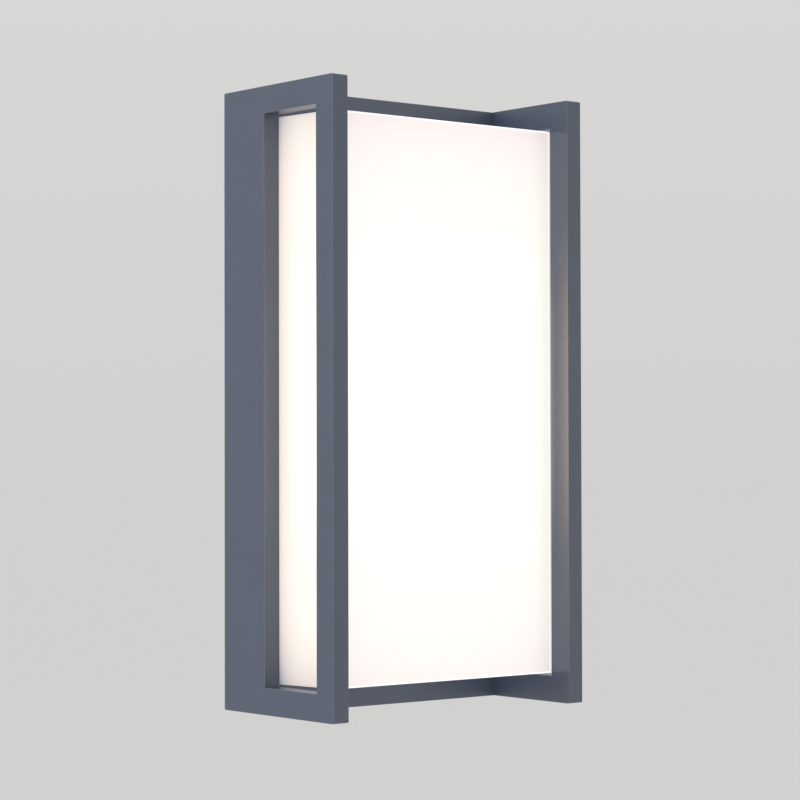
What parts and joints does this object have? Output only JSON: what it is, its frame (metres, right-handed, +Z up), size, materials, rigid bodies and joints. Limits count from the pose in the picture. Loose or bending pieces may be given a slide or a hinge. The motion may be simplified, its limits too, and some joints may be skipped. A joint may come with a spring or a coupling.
{
  "type": "outdoor wall lantern",
  "caption": "Rectangular outdoor wall lantern with a lit opal box diffuser between two window-pane side frames, on a shallow back housing that hangs on a wall bracket.",
  "frame": {"origin": "on the wall, at the centre of the bracket's supply cable hole, halfway up the lantern", "axes": "+Z up, +Y into the wall, +X to the right seen from in front; the lantern faces -Y"},
  "size_m": [0.159, 0.088, 0.305],
  "materials": {
    "powder_coat": "satin",
    "zinc_steel": "satin",
    "green_steel": "satin",
    "foam": "matte",
    "silicone": "matte",
    "opal_plastic": "satin",
    "white_plastic": "satin",
    "white_board": "satin",
    "reflector_film": "matte",
    "phosphor": "satin",
    "circuit_board": "satin",
    "yellow_tape": "satin",
    "capacitor_sleeve": "gloss",
    "tinned_copper": "satin",
    "black_lead": "satin",
    "white_lead": "satin",
    "green_lead": "satin",
    "red_lead": "satin"
  },
  "bodies": {
    "wall_bracket": {"mounting_bracket": "zinc_steel", "locking_screws": "zinc_steel", "bracket_earth_screw": "green_steel"},
    "lantern": {"back_housing": "powder_coat", "wall_gasket": "foam", "side_frame_left": "powder_coat", "side_frame_right": "powder_coat", "frame_screws": "zinc_steel", "driver_case": "white_plastic", "driver_lid": "white_plastic", "driver_board": "circuit_board", "driver_transformer": "yellow_tape", "driver_capacitors": "capacitor_sleeve", "driver_screws": "zinc_steel", "terminal_block": "white_plastic", "terminal_clamp_screws": "zinc_steel", "terminal_block_screws": "zinc_steel", "line_lead": "black_lead", "neutral_lead": "white_lead", "earth_lead": "green_lead", "earth_ring": "tinned_copper", "housing_earth_screw": "green_steel", "lead_grommet": "foam", "led_lead_positive": "red_lead", "led_lead_negative": "black_lead", "led_board": "white_board", "led_chips": "phosphor", "led_connector": "white_plastic", "reflector_sheet": "reflector_film", "led_board_screws": "zinc_steel", "diffuser_gasket": "silicone", "diffuser_screws": "zinc_steel"},
    "diffuser_cover": {"diffuser": "opal_plastic"}
  },
  "joints": [
    {"name": "lantern_off_bracket", "type": "slide", "parent": "wall_bracket", "child": "lantern", "axis": [0, -1, 0], "range_m": [0, 0.06]},
    {"name": "diffuser_off", "type": "slide", "parent": "lantern", "child": "diffuser_cover", "axis": [0, -1, 0], "range_m": [0, 0.065]}
  ]
}
